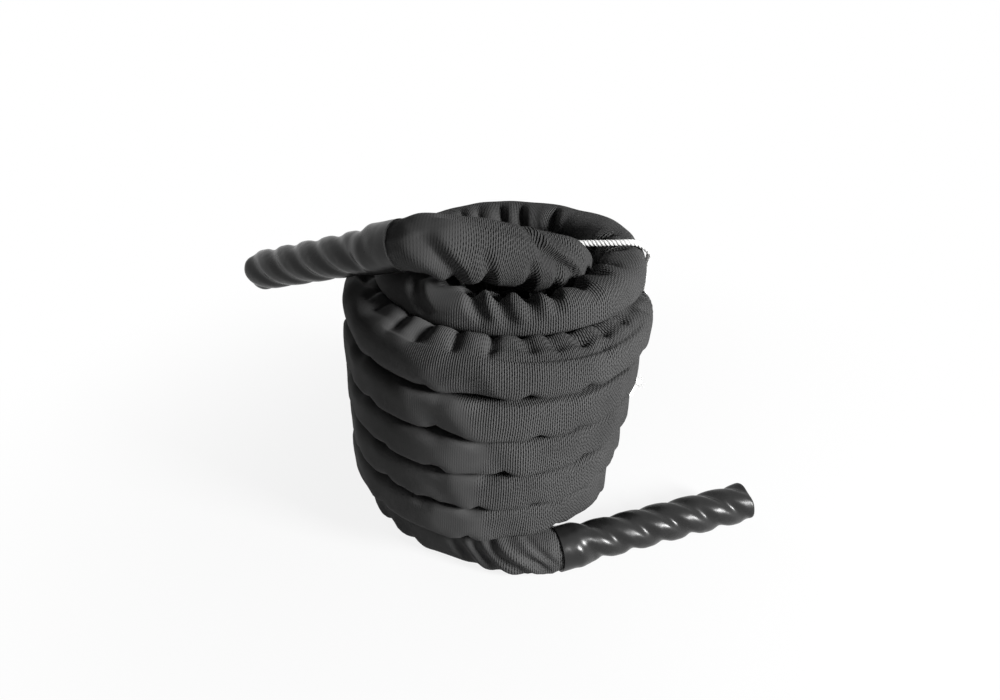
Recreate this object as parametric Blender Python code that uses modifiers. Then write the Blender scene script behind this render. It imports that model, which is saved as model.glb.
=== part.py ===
"""A 38 mm battle rope, coiled and tied for storage, with its two shrunk-on grips.

Metres, +Z up. The camera side of the coil is -Y. The rope is a laid core inside a woven
sleeve. It runs from the grip on the floor, up through the coil, and over the top to the
other grip. Turns are counted from the front of the turn that lies on the floor.
"""

import math

import bmesh
import bpy
import numpy as np
from mathutils import Matrix, Vector

# Rope and sleeve
ROPE_DIAMETER = 0.038
SLEEVE_SLACK = 0.0018
SLEEVE_WALL = 0.0010
SLEEVE_CLOSE_FIT = 0.0004
FACE_GAP = 0.0003

# Strands, seen only as the lobes that they raise in the grips
STRAND_DIAMETER_SHARE = 0.41
STRAND_SIDES = 6
STRAND_STEPS_PER_LAY = 12
LAY_LENGTH = 0.102
STRANDS = 3

# Grips
GRIP_LENGTH = 0.218
GRIP_WALL = 0.0020
GRIP_FIT = 0.0009
GRIP_SLEEVE_TUCK = 0.032
GRIP_SHOULDER = 0.016
GRIP_LOBE = 0.0016
GRIP_TUCK_LOBE = 0.0006
GRIP_EDGE = 0.004
GRIP_STEPS_PER_LAY = 16
GRIP_COLUMNS = 18

# Coil
COIL_RADIUS = 0.134
TURN_GAP = 0.0009
STRAIGHT_END = 0.044

# Ties
TIE_DIAMETER = 0.006
TIE_CLEARANCE = 0.0006
TIE_TAIL = 0.024
TIE_STUB = 0.016
TIE_EASE = 0.024
HITCH_TURNS = 2.25
HITCH_STEPS_PER_TURN = 8

SLEEVE_RADIUS = ROPE_DIAMETER / 2 + SLEEVE_SLACK + SLEEVE_WALL
TURN_PITCH = 2 * SLEEVE_RADIUS + TURN_GAP
POINTS_PER_TURN = 24
COIL_SIDES = 6
STRETCH_SIDES = 8
TIE_SIDES = 6

# The coil's shape, as shares of COIL_RADIUS, and of TURN_PITCH for the lift. Each row is
# the turn, its radius, how far its centre lies to the right and to the back, and how far
# it lies above a plain helix that climbs one pitch a turn.
COIL_SHARES = (
    (0.000, 0.810, -0.121, 0.043, 0.00),
    (0.060, 0.772, -0.121, 0.042, -0.06),
    (0.140, 0.757, -0.121, 0.042, -0.14),
    (0.205, 0.790, -0.121, 0.041, -0.205),
    (0.250, 0.805, -0.121, 0.040, -0.25),
    (0.500, 0.810, -0.121, 0.038, -0.50),
    (0.750, 0.860, -0.119, 0.036, -0.27),
    (0.875, 0.890, -0.118, 0.035, -0.03),
    (1.000, 0.915, -0.116, 0.034, 0.05),
    (2.000, 0.936, -0.089, 0.018, 0.05),
    (3.000, 0.950, -0.068, 0.000, 0.05),
    (4.000, 0.971, -0.036, -0.007, 0.05),
    (5.000, 1.000, 0.000, 0.000, 0.05),
    (5.250, 0.990, 0.015, 0.010, 0.06),
    (5.375, 1.003, 0.027, 0.027, 0.17),
    (5.500, 1.010, 0.040, 0.045, 0.22),
    (5.750, 0.860, 0.080, 0.085, 0.14),
    (5.875, 0.818, 0.096, 0.099, 0.07),
    (6.000, 0.803, 0.105, 0.105, -0.09),
    (6.125, 0.835, 0.085, 0.097, -0.10),
    (6.250, 0.793, 0.046, 0.080, -0.06),
    (6.310, 0.744, 0.031, 0.062, -0.12),
    (6.375, 0.680, 0.015, 0.045, -0.32),
    (6.500, 0.500, 0.000, 0.010, -0.97),
)
# How far each whole turn sags at the back, as shares of TURN_PITCH
BACK_SAG_SHARES = (0.00, 0.27, 0.19, 0.12, 0.05, 0.00, 0.00)
COIL_START = 1.5 / POINTS_PER_TURN
COIL_END = 6.5 - 1.5 / POINTS_PER_TURN

# The free stretches, from the coil to the grips, as points about the coil's axis. They lie
# to the right and to the back in shares of COIL_RADIUS. The lower ones' heights are shares
# of SLEEVE_RADIUS, and the upper ones' of TURN_PITCH.
LOWER_ROUTE_SHARES = (
    (0.0448, -0.8918, 1.009),
    (0.1940, -0.9269, 1.018),
    (0.4978, -0.9216, 1.101),
)
UPPER_ROUTE_SHARES = (
    (0.2463, 0.5896, 5.798),
    (0.4776, 0.3582, 5.888),
    (0.5299, 0.1119, 6.225),
    (0.4925, -0.1119, 6.607),
    (0.3843, -0.2575, 6.910),
    (0.2127, -0.3843, 7.157),
    (0.0410, -0.5000, 7.398),
    (-0.1157, -0.5784, 7.584),
    (-0.2761, -0.6306, 7.719),
    (-0.4179, -0.6493, 7.809),
    (-0.5224, -0.6463, 7.822),
    (-0.6619, -0.5888, 7.694),
)
# The way that each grip points, from its mouth to its end
LOWER_GRIP_SHARES = (0.946, 0.325, -0.0064)
UPPER_GRIP_SHARES = (-0.755, 0.5446, -0.3654)

# Each tie: its name, its place round the coil as a share of a turn, the first turn that it
# goes round, how many turns it holds, the height of its hitch as a share of the stack, and
# the free stretch that it also holds
TIES = (
    ("tie_right", 17.25 / 24, 0, 6, 0.30, "upper"),
    ("tie_back_right", 13.5 / 24, 1, 4, 0.55, None),
    ("tie_back_left", 10.5 / 24, 1, 4, 0.55, None),
)

for old in list(bpy.data.objects):
    bpy.data.objects.remove(old, do_unlink=True)
rope_parts = bpy.data.collections.new("battle_rope")
bpy.context.scene.collection.children.link(rope_parts)


def finish(name, colour, roughness):
    """A plain material."""
    material = bpy.data.materials.new(name)
    material.use_nodes = True
    shader = material.node_tree.nodes["Principled BSDF"]
    shader.inputs["Base Color"].default_value = (*colour, 1.0)
    shader.inputs["Roughness"].default_value = roughness
    return material


SLEEVE_CLOTH = finish("sleeve_cloth", (0.045, 0.045, 0.047), 0.85)
ROPE_YARN = finish("rope_yarn", (0.16, 0.16, 0.155), 0.80)
GRIP_FILM = finish("grip_film", (0.012, 0.012, 0.013), 0.30)
TIE_CORD = finish("tie_cord", (0.80, 0.80, 0.78), 0.70)


def through(knots, values, at):
    """A natural cubic spline through the values at the knots."""
    knots = np.array(knots, float)
    values = np.array(values, float).reshape(len(knots), -1)
    at = np.atleast_1d(at)
    count = len(knots)
    step = np.diff(knots)
    slope = np.diff(values, axis=0) / step[:, None]
    matrix = np.eye(count)
    bends = np.zeros_like(values)
    for i in range(1, count - 1):
        matrix[i, i - 1 : i + 2] = step[i - 1], 2 * (step[i - 1] + step[i]), step[i]
        bends[i] = 6 * (slope[i] - slope[i - 1])
    curvature = np.linalg.solve(matrix, bends)
    i = np.clip(np.searchsorted(knots, at, side="right") - 1, 0, count - 2)
    after = (at - knots[i])[:, None]
    before = (knots[i + 1] - at)[:, None]
    width = step[i][:, None]
    return (
        (curvature[i] * before**3 + curvature[i + 1] * after**3) / (6 * width)
        + (values[i] / width - curvature[i] * width / 6) * before
        + (values[i + 1] / width - curvature[i + 1] * width / 6) * after
    )


def steady(knots, values, at):
    """A cubic through the values at the knots that doesn't overshoot between them."""
    at = np.atleast_1d(at)
    step = np.diff(knots)[:, None]
    slope = np.diff(values, axis=0) / step
    low, high = slope[:-1], slope[1:]
    same = low * high > 0
    total = np.where(same, low + high, 1.0)
    middle = np.where(same, 2 * low * high / total, 0.0)
    lean = np.vstack([slope[:1], middle, slope[-1:]])
    i = np.clip(np.searchsorted(knots, at, side="right") - 1, 0, len(knots) - 2)
    share = ((at - knots[i]) / step[i, 0])[:, None]
    rise = share * share * (3 - 2 * share)
    return (
        values[i] * (1 - rise)
        + values[i + 1] * rise
        + step[i] * share * (1 - share) * (lean[i] * (1 - share) - lean[i + 1] * share)
    )


def along(points):
    """The distance run at each point of a line."""
    return np.concatenate([[0.0], np.cumsum(np.linalg.norm(np.diff(points, axis=0), axis=1))])


def smooth_line(route, spacing):
    """Points about a spacing apart on a smooth curve through a route's points."""
    route = np.array(route, float)
    run = along(route)
    count = max(2, round(run[-1] / spacing) + 1)
    return through(run, route, np.linspace(0, run[-1], count))


COIL_TABLE = np.array(COIL_SHARES)


def turn_azimuth(turn):
    """The way round to a turn's point. The rope winds clockwise, seen from above."""
    return -math.pi / 2 - 2 * math.pi * turn


def coil_point(turn):
    """The rope's centre at a turn of the coil, about the coil's axis."""
    turn = np.atleast_1d(turn)
    radius, right, back, lift = steady(COIL_TABLE[:, 0], COIL_TABLE[:, 1:], turn).T
    azimuth = turn_azimuth(turn)
    sag = np.array(BACK_SAG_SHARES)[turn.astype(int)] * np.maximum(0.0, np.sin(azimuth)) ** 2
    return np.stack(
        [
            COIL_RADIUS * (right + radius * np.cos(azimuth)),
            COIL_RADIUS * (back + radius * np.sin(azimuth)),
            SLEEVE_RADIUS + TURN_PITCH * np.maximum(turn + lift - sag, 0.0),
        ],
        axis=-1,
    )


def unit(vector):
    return np.array(vector) / np.linalg.norm(vector)


COIL_TURNS = COIL_START + np.arange(round((COIL_END - COIL_START) * POINTS_PER_TURN) + 1) / POINTS_PER_TURN


def coil_line():
    """The coil, one unbroken line, which ends in a straight run at each end."""
    turns_line = coil_point(COIL_TURNS)
    small = 1 / POINTS_PER_TURN
    first = unit(coil_point(COIL_START)[0] - coil_point(COIL_START + small)[0])
    first[2] = 0.0
    last = unit(coil_point(COIL_END)[0] - coil_point(COIL_END - small)[0])
    start = turns_line[0] + STRAIGHT_END * unit(first)
    end = turns_line[-1] + STRAIGHT_END * last
    return np.vstack([start, turns_line, end])


def coil_centre(turns):
    """The middle of the coil's tube at each turn, also between two of its points."""
    return np.stack([np.interp(turns, COIL_TURNS, row) for row in coil_point(COIL_TURNS).T], axis=-1)


def self_gap(line):
    """The least gap between the flat faces of the coil's turns, measured on points."""
    spacing = SLEEVE_RADIUS / 8
    fine = smooth_line(line, spacing)
    run = along(fine)
    headings = np.gradient(fine, axis=0)
    tilts = (-math.pi / 6, math.pi / 6, math.pi / 2)
    least = math.inf
    for point, place, heading in zip(fine, run, headings):
        ahead = unit((heading[0], heading[1], 0.0))
        offset = fine[np.abs(run - place) > 4 * SLEEVE_RADIUS] - point
        offset = offset[np.abs(offset @ ahead) < spacing]
        across = offset @ np.array([-ahead[1], ahead[0], 0.0])
        faces = [np.abs(math.cos(tilt) * across + math.sin(tilt) * offset[:, 2]) for tilt in tilts]
        least = min(least, np.max(faces, axis=0).min() - 2 * SLEEVE_RADIUS)
    return float(least)


def add(name, mesh, material, sharp_angle):
    """A mesh as one part of the rope."""
    part = bpy.data.objects.new(name, mesh)
    mesh.materials.clear()
    mesh.materials.append(material)
    mesh.shade_smooth()
    mesh.set_sharp_from_angle(angle=sharp_angle)
    rope_parts.objects.link(part)
    part.parent = stand
    return part


def tube(name, line, reach, sides, material, shares=None, wall=0.0, twist="Z_UP"):
    """A tube along a line, whose corners are a reach from the middle. A wall makes it hollow."""
    curve = bpy.data.curves.new(name, "CURVE")
    curve.dimensions = "3D"
    curve.twist_mode = twist
    curve.bevel_depth = reach
    curve.bevel_resolution = (sides - 4) // 2
    curve.use_fill_caps = not wall
    spline = curve.splines.new("POLY")
    spline.points.add(len(line) - 1)
    for i, point in enumerate(line):
        spline.points[i].co = (*point, 1.0)
        spline.points[i].radius = 1.0 if shares is None else shares[i]
    guide = bpy.data.objects.new(name + "_guide", curve)
    bpy.context.scene.collection.objects.link(guide)
    mesh = bpy.data.meshes.new_from_object(guide.evaluated_get(bpy.context.evaluated_depsgraph_get()))
    bpy.data.objects.remove(guide, do_unlink=True)
    shape = bmesh.new()
    shape.from_mesh(mesh)
    bmesh.ops.remove_doubles(shape, verts=shape.verts, dist=FACE_GAP / 100)
    shape.to_mesh(mesh)
    shape.free()
    mesh.name = name
    part = add(name, mesh, material, math.radians(35))
    if wall:
        shell = part.modifiers.new("wall", "SOLIDIFY")
        shell.thickness = wall
        shell.offset = -1.0
        shell.use_even_offset = True
    return part


def loft(name, rings, material):
    """A closed body through rings of points, capped at the first and the last ring."""
    shape = bmesh.new()
    rows = [[shape.verts.new(point) for point in ring] for ring in rings]
    for low, high in zip(rows, rows[1:]):
        for i in range(len(low)):
            j = (i + 1) % len(low)
            shape.faces.new((low[i], low[j], high[j], high[i]))
    shape.faces.new(reversed(rows[0]))
    shape.faces.new(rows[-1])
    bmesh.ops.triangulate(shape, faces=shape.faces, quad_method="SHORT_EDGE")
    bmesh.ops.recalc_face_normals(shape, faces=shape.faces)
    mesh = bpy.data.meshes.new(name)
    shape.to_mesh(mesh)
    shape.free()
    return add(name, mesh, material, math.radians(40))


stand = bpy.data.objects.new("rope_on_floor", None)
rope_parts.objects.link(stand)


def grip_frame(mouth, direction):
    """Places a grip, built along +X from its mouth at the origin."""
    turned = Vector(direction).to_track_quat("X", "Z").to_matrix().to_4x4()
    return Matrix.Translation(Vector(mouth)) @ turned


def stretch(first, before, route, frame):
    """A free stretch's line: straight out of the coil, along its route, straight into its grip."""
    heading = unit(first - before)
    lead = first + heading * SLEEVE_RADIUS / 2
    shares = (-0.3, 0.0, 0.5, 1.0)
    approach, *inside = (np.array(frame @ Vector((GRIP_SLEEVE_TUCK * share, 0.0, 0.0))) for share in shares)
    knots = np.vstack([first, lead, route[:-1], approach, inside[0]])
    run = along(knots)
    count = round((run[-2] - run[1]) / (ROPE_DIAMETER / 2)) + 1
    free = through(run, knots, np.linspace(run[1], run[-2], count))
    return np.vstack([first + heading * FACE_GAP, free, inside])


# The rope's core and sleeve, from one grip through the coil to the other
ROPE_RADIUS = ROPE_DIAMETER / 2
TIGHT_SLEEVE_RADIUS = ROPE_RADIUS + SLEEVE_CLOSE_FIT + SLEEVE_WALL
FLATS_TO_CORNERS = 1 / math.cos(math.pi / COIL_SIDES)
coil = coil_line()
tube("core_coil", coil, ROPE_RADIUS * FLATS_TO_CORNERS, COIL_SIDES, ROPE_YARN)
tube("sleeve_coil", coil, SLEEVE_RADIUS * FLATS_TO_CORNERS, COIL_SIDES, SLEEVE_CLOTH, wall=SLEEVE_WALL)
lower_route = np.array(LOWER_ROUTE_SHARES) * (COIL_RADIUS, COIL_RADIUS, SLEEVE_RADIUS)
upper_route = np.array(UPPER_ROUTE_SHARES) * (COIL_RADIUS, COIL_RADIUS, TURN_PITCH)
frames = {
    "lower": grip_frame(lower_route[-1], LOWER_GRIP_SHARES),
    "upper": grip_frame(upper_route[-1], UPPER_GRIP_SHARES),
}
stretches = {
    "lower": stretch(coil[0], coil[1], lower_route, frames["lower"]),
    "upper": stretch(coil[-1], coil[-2], upper_route, frames["upper"]),
}
for end, line in stretches.items():
    mouth = np.array(frames[end].translation)
    from_mouth = along(line) - along(line)[np.argmin(np.linalg.norm(line - mouth, axis=1))]
    shares = np.interp(from_mouth, [-ROPE_RADIUS, 0.0], [1.0, TIGHT_SLEEVE_RADIUS / SLEEVE_RADIUS])
    tube("core_" + end, line, ROPE_RADIUS, STRETCH_SIDES, ROPE_YARN)
    tube("sleeve_" + end, line, SLEEVE_RADIUS, STRETCH_SIDES, SLEEVE_CLOTH, shares, SLEEVE_WALL)

# Strands that the grips hold, three at each end, laid right-handed and cut square
STRAND_RADIUS = STRAND_DIAMETER_SHARE * ROPE_DIAMETER / 2
STRAND_CIRCLE = ROPE_RADIUS - FACE_GAP - STRAND_RADIUS
strand_start = GRIP_SLEEVE_TUCK + FACE_GAP
strand_end = GRIP_LENGTH - GRIP_WALL - FACE_GAP
strand_rings = round((strand_end - strand_start) / LAY_LENGTH * STRAND_STEPS_PER_LAY) + 1


def lay_angle(distance):
    """How far the strands have turned at a distance from a grip's mouth."""
    return 2 * math.pi * distance / LAY_LENGTH


def strand_ring(frame, x, first_angle):
    """A strand's section across the grip. Its slant makes it wider round the rope."""
    angle = first_angle + lay_angle(x)
    spread = math.hypot(1.0, 2 * math.pi * STRAND_CIRCLE / LAY_LENGTH)
    ring = []
    for i in range(STRAND_SIDES):
        corner = 2 * math.pi * i / STRAND_SIDES
        out = STRAND_CIRCLE + STRAND_RADIUS * math.cos(corner)
        round_rope = STRAND_RADIUS * spread * math.sin(corner)
        y = out * math.cos(angle) - round_rope * math.sin(angle)
        z = out * math.sin(angle) + round_rope * math.cos(angle)
        ring.append(frame @ Vector((x, y, z)))
    return ring


for end, frame in frames.items():
    for i in range(STRANDS):
        first_angle = 2 * math.pi * i / STRANDS
        xs = np.linspace(strand_start, strand_end, strand_rings)
        loft(f"strand_{end}_{i + 1}", [strand_ring(frame, x, first_angle) for x in xs], ROPE_YARN)

# Grips: heat-shrink sleeves that have drawn down over the strands and show their lay
GRIP_BODY_RADIUS = ROPE_RADIUS - GRIP_LOBE + FACE_GAP + GRIP_WALL
GRIP_MOUTH_RADIUS = TIGHT_SLEEVE_RADIUS + GRIP_FIT + GRIP_WALL


def ease(value, start, end):
    """From 0 at the start to 1 at the end, level at both."""
    share = min(max((value - start) / (end - start), 0.0), 1.0)
    return share * share * (3 - 2 * share)


def grip_ring(frame, x, inset=0.0, inner=False):
    """One ring of a grip's skin. Its points turn with the lay, so edges follow the lobes."""
    shrunk = ease(x, GRIP_SLEEVE_TUCK, GRIP_SLEEVE_TUCK + GRIP_SHOULDER)
    radius = GRIP_MOUTH_RADIUS + shrunk * (GRIP_BODY_RADIUS - GRIP_MOUTH_RADIUS)
    raised = ease(x, 0.0, GRIP_SLEEVE_TUCK) * GRIP_TUCK_LOBE
    lobe = shrunk * GRIP_LOBE + (1 - shrunk) * (0.0 if inner else raised)
    ring = []
    for i in range(GRIP_COLUMNS):
        column = 2 * math.pi * i / GRIP_COLUMNS
        reach = radius + lobe * math.cos(STRANDS * column) - inset
        angle = column + lay_angle(x)
        ring.append(frame @ Vector((x, reach * math.cos(angle), reach * math.sin(angle))))
    return ring


for end, frame in frames.items():
    step = LAY_LENGTH / GRIP_STEPS_PER_LAY
    inner_end = GRIP_LENGTH - GRIP_WALL
    outer_end = GRIP_LENGTH - GRIP_EDGE
    inner_xs = np.linspace(inner_end, 0.0, round(inner_end / step) + 1)
    outer_xs = np.linspace(0.0, outer_end, round(outer_end / step) + 1)
    rings = [grip_ring(frame, x, GRIP_WALL, inner=True) for x in inner_xs]
    rings += [grip_ring(frame, x) for x in outer_xs]
    for angle in np.linspace(0.0, math.pi / 2, 5)[1:]:
        bulge = GRIP_EDGE * math.sin(angle)
        rings.append(grip_ring(frame, outer_end + bulge, GRIP_EDGE * (1 - math.cos(angle))))
    loft("grip_" + end, rings, GRIP_FILM)


def hull(points):
    """The convex outline of flat points, anticlockwise."""
    points = sorted(map(tuple, points))
    sides = []
    for row in (points, points[::-1]):
        side = []
        for point in row:
            while len(side) > 1:
                (ax, ay), (bx, by) = side[-2:]
                if (bx - ax) * (point[1] - ay) - (by - ay) * (point[0] - ax) > 0:
                    break
                side.pop()
            side.append(point)
        sides += side[:-1]
    return np.array(sides)


def wrapped(outline, offset):
    """A closed line round an outline, an offset away, with its corners rounded."""
    edges = np.roll(outline, -1, axis=0) - outline
    edges /= np.linalg.norm(edges, axis=1)[:, None]
    normals = np.stack([edges[:, 1], -edges[:, 0]], axis=1)
    line = []
    for corner, before, after in zip(outline, np.roll(normals, 1, axis=0), normals):
        line += [corner + offset * unit(normal) for normal in (before, before + after, after)]
    return np.array(line)


def filled_in(line, spacing):
    """A closed line with points added, so that none are further apart than a spacing."""
    full = []
    for start, end in zip(line, np.roll(line, -1, axis=0)):
        pieces = max(1, math.ceil(np.linalg.norm(end - start) / spacing))
        full += [start + (end - start) * i / pieces for i in range(pieces)]
    return np.array(full)


def crossing(line, outward, sideways):
    """Where a line passes through the upright half-plane of a tie: its reach and height."""
    aside = line[:, :2] @ sideways
    reach = line[:, :2] @ outward
    passes = np.flatnonzero((aside[:-1] * aside[1:] <= 0) & (reach[:-1] > 0))
    i = int(passes[0])
    share = aside[i] / (aside[i] - aside[i + 1])
    return reach[i] + share * (reach[i + 1] - reach[i]), line[i, 2] + share * (line[i + 1, 2] - line[i, 2])


def tie_line(place, first, count, hitch_share, stretch_line):
    """A tie: a tail, then round its turns of the coil, then hitched round its own tail."""
    centres = coil_centre(first + np.arange(count) + place)
    azimuth = turn_azimuth(place)
    outward = np.array([math.cos(azimuth), math.sin(azimuth)])
    sideways = np.array([-outward[1], outward[0]])
    reaches = centres[:, :2] @ outward
    asides = centres[:, :2] @ sideways
    angles = np.arange(COIL_SIDES) * 2 * math.pi / COIL_SIDES
    section = SLEEVE_RADIUS * FLATS_TO_CORNERS * np.stack([np.cos(angles), np.sin(angles)], axis=1)
    held = list(zip(reaches, centres[:, 2]))
    if stretch_line is not None:
        held.append(crossing(stretch_line, outward, sideways))
    corners = np.vstack([section + place_held for place_held in held])
    loop = filled_in(wrapped(hull(corners), TIE_DIAMETER / 2 + TIE_CLEARANCE), SLEEVE_RADIUS)
    height = centres[0, 2] + hitch_share * (centres[-1, 2] - centres[0, 2])
    outside = loop[:, 0] > reaches.mean()
    start = int(np.argmin(np.where(outside, np.abs(loop[:, 1] - height), math.inf)))
    loop = np.roll(loop, -start, axis=0)
    up = unit(loop[1] - loop[-1])
    out = np.array([up[1], -up[0]])
    stand_off = TIE_DIAMETER + TIE_CLEARANCE
    hitch_rise = HITCH_TURNS * stand_off
    line = []

    def place_point(rise, away, aside):
        flat = loop[0] + up * rise + out * away
        line.append((*flat, aside))

    for rise in (-TIE_TAIL, 0.0, hitch_rise, hitch_rise + TIE_DIAMETER):
        place_point(rise, stand_off, 0.0)
    eased = hitch_rise + TIE_DIAMETER + TIE_EASE
    for share in (0.35, 0.65, 1.0):
        place_point(eased - (1 - share) * TIE_EASE, stand_off * (1 - ease(share, 0.0, 1.0)), 0.0)
    past = (loop - loop[0]) @ up
    beside = loop[:, 0] > reaches.mean()
    kept = ~(beside & (past > -2 * TIE_DIAMETER) & (past < eased + TIE_DIAMETER))
    line += [(*point, 0.0) for point in loop[kept]]
    place_point(-TIE_DIAMETER, 0.0, 0.0)
    for i in range(round(HITCH_TURNS * HITCH_STEPS_PER_TURN) + 1):
        angle = 2 * math.pi * i / HITCH_STEPS_PER_TURN
        rise = stand_off * i / HITCH_STEPS_PER_TURN
        place_point(rise, stand_off * (1 - math.cos(angle)), stand_off * math.sin(angle))
    place_point(hitch_rise, stand_off + TIE_STUB, stand_off)
    line = np.array(line)
    lean = np.interp(line[:, 1], centres[:, 2], asides)
    flat = line[:, :1] * outward + (line[:, 2] + lean)[:, None] * sideways
    return np.column_stack([flat, line[:, 1]])


# Ties, which hold the coil's turns together
tie_lines = {}
for name, place, first, count, hitch_share, end in TIES:
    tie_lines[name] = tie_line(place, first, count, hitch_share, stretches.get(end))
    tube(name, tie_lines[name], TIE_DIAMETER / 2, TIE_SIDES, TIE_CORD, twist="MINIMUM")

# The origin is under the middle of the whole rope, on the floor
bpy.context.view_layer.update()
pieces = [part for part in rope_parts.objects if part.type == "MESH"]
corners = np.array([part.matrix_world @ Vector(corner) for part in pieces for corner in part.bound_box])
middle = (corners.min(axis=0) + corners.max(axis=0)) / 2
stand.location = (-middle[0], -middle[1], 0.0)

print(f"least gap of the coil to itself: {self_gap(coil) * 1000:.2f} mm")
total = sum(along(line)[-1] for line in (coil, *stretches.values())) + 2 * (GRIP_LENGTH - GRIP_SLEEVE_TUCK)
print(f"rope length: {total:.3f} m")
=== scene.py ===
import math

import bmesh
import bpy
import numpy as np
from mathutils import Matrix, Vector


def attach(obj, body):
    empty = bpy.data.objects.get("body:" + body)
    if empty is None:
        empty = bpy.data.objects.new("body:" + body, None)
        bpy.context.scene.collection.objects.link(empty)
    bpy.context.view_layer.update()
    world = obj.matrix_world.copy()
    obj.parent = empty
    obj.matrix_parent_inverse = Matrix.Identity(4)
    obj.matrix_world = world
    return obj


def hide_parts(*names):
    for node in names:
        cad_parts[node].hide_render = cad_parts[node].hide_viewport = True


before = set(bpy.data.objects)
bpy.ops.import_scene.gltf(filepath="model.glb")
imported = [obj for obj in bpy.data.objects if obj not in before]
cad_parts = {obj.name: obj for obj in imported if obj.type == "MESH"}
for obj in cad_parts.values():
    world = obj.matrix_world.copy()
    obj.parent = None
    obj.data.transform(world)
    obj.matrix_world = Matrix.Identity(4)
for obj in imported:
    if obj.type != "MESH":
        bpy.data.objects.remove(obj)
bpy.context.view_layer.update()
scene = bpy.context.scene
scene.view_settings.view_transform = "Standard"

# The camera stands in front of the coil, above it, and looks down at it as the photograph
# does.
camera = bpy.data.objects.new("camera", bpy.data.cameras.new("camera"))
camera.data.lens = 28.8
camera.data.sensor_width = 36.0
camera.location = (-0.0087, -0.7366, 0.6236)
camera.rotation_euler = (math.radians(59.2), 0.0, math.radians(-0.3))
scene.collection.objects.link(camera)
scene.camera = camera

# The rope's route, from the grip on the floor, up through the coil, which winds clockwise
# seen from above, and over its top to the other grip.
COIL_AXIS = np.array((-0.00677, -0.00709, 0.0))
COIL_RADIUS = 0.134
ROPE_RADIUS = 0.0218
TURN_PITCH = 0.0445
COIL_SHARES = np.array(
    (
        (0.000, 0.810, -0.121, 0.043, 0.00),
        (0.060, 0.772, -0.121, 0.042, -0.06),
        (0.140, 0.757, -0.121, 0.042, -0.14),
        (0.205, 0.790, -0.121, 0.041, -0.205),
        (0.250, 0.805, -0.121, 0.040, -0.25),
        (0.500, 0.810, -0.121, 0.038, -0.50),
        (0.750, 0.860, -0.119, 0.036, -0.27),
        (0.875, 0.890, -0.118, 0.035, -0.03),
        (1.000, 0.915, -0.116, 0.034, 0.05),
        (2.000, 0.936, -0.089, 0.018, 0.05),
        (3.000, 0.950, -0.068, 0.000, 0.05),
        (4.000, 0.971, -0.036, -0.007, 0.05),
        (5.000, 1.000, 0.000, 0.000, 0.05),
        (5.250, 0.990, 0.015, 0.010, 0.06),
        (5.375, 1.003, 0.027, 0.027, 0.17),
        (5.500, 1.010, 0.040, 0.045, 0.22),
        (5.750, 0.860, 0.080, 0.085, 0.14),
        (5.875, 0.818, 0.096, 0.099, 0.07),
        (6.000, 0.803, 0.105, 0.105, -0.09),
        (6.125, 0.835, 0.085, 0.097, -0.10),
        (6.250, 0.793, 0.046, 0.080, -0.06),
        (6.310, 0.744, 0.031, 0.062, -0.12),
        (6.375, 0.680, 0.015, 0.045, -0.32),
        (6.500, 0.500, 0.000, 0.010, -0.97),
    )
)
BACK_SAG_SHARES = np.array((0.00, 0.27, 0.19, 0.12, 0.05, 0.00, 0.00))
LOWER_ROUTE = (
    (0.0667, -0.1235, 0.0240),
    (0.0260, -0.1242, 0.0222),
    (0.0060, -0.1195, 0.0220),
)
UPPER_ROUTE = (
    (0.0330, 0.0790, 0.2580),
    (0.0640, 0.0480, 0.2620),
    (0.0710, 0.0150, 0.2770),
    (0.0660, -0.0150, 0.2940),
    (0.0515, -0.0345, 0.3075),
    (0.0285, -0.0515, 0.3185),
    (0.0055, -0.0670, 0.3292),
    (-0.0155, -0.0775, 0.3375),
    (-0.0370, -0.0845, 0.3435),
    (-0.0560, -0.0870, 0.3475),
    (-0.0700, -0.0866, 0.3481),
    (-0.0887, -0.0789, 0.3424),
)
LOWER_GRIP_WAY = np.array((0.946, 0.325, -0.0064))
UPPER_GRIP_WAY = np.array((-0.755, 0.5446, -0.3654))
SLEEVE_TUCK = 0.014
# The turns where the coil's own rule starts and ends, the spacings along the line, and over
# how many points it is evened out
COIL_START = 1.5 / 24
COIL_END = 6.5 - 1.5 / 24
TURN_STEP = 1 / 240
KNOT_SPACING = 0.002
ROUTE_SPACING = 0.001
ROUTE_BLUR = 7


def steady(knots, values, at):
    """A cubic through the values at the knots that doesn't overshoot between them."""
    step = np.diff(knots)[:, None]
    slope = np.diff(values, axis=0) / step
    low, high = slope[:-1], slope[1:]
    same = low * high > 0
    middle = np.where(same, 2 * low * high / np.where(same, low + high, 1.0), 0.0)
    lean = np.vstack([slope[:1], middle, slope[-1:]])
    i = np.clip(np.searchsorted(knots, at, side="right") - 1, 0, len(knots) - 2)
    share = ((at - knots[i]) / step[i, 0])[:, None]
    rise = share * share * (3 - 2 * share)
    sway = share * (1 - share) * (lean[i] * (1 - share) - lean[i + 1] * share)
    return values[i] * (1 - rise) + values[i + 1] * rise + step[i] * sway


def coil_point(turn):
    """The rope's centre at each turn, counted from the front of the floor turn."""
    radius, right, back, lift = steady(COIL_SHARES[:, 0], COIL_SHARES[:, 1:], turn).T
    azimuth = -math.pi / 2 - 2 * math.pi * turn
    sag = BACK_SAG_SHARES[turn.astype(int)] * np.maximum(0.0, np.sin(azimuth)) ** 2
    x = COIL_RADIUS * (right + radius * np.cos(azimuth))
    y = COIL_RADIUS * (back + radius * np.sin(azimuth))
    z = ROPE_RADIUS + TURN_PITCH * np.maximum(turn + lift - sag, 0.0)
    return np.stack([x, y, z], axis=1)


def run_of(line):
    """The distance run at each point of a line."""
    return np.concatenate([[0.0], np.cumsum(np.linalg.norm(np.diff(line, axis=0), axis=1))])


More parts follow.
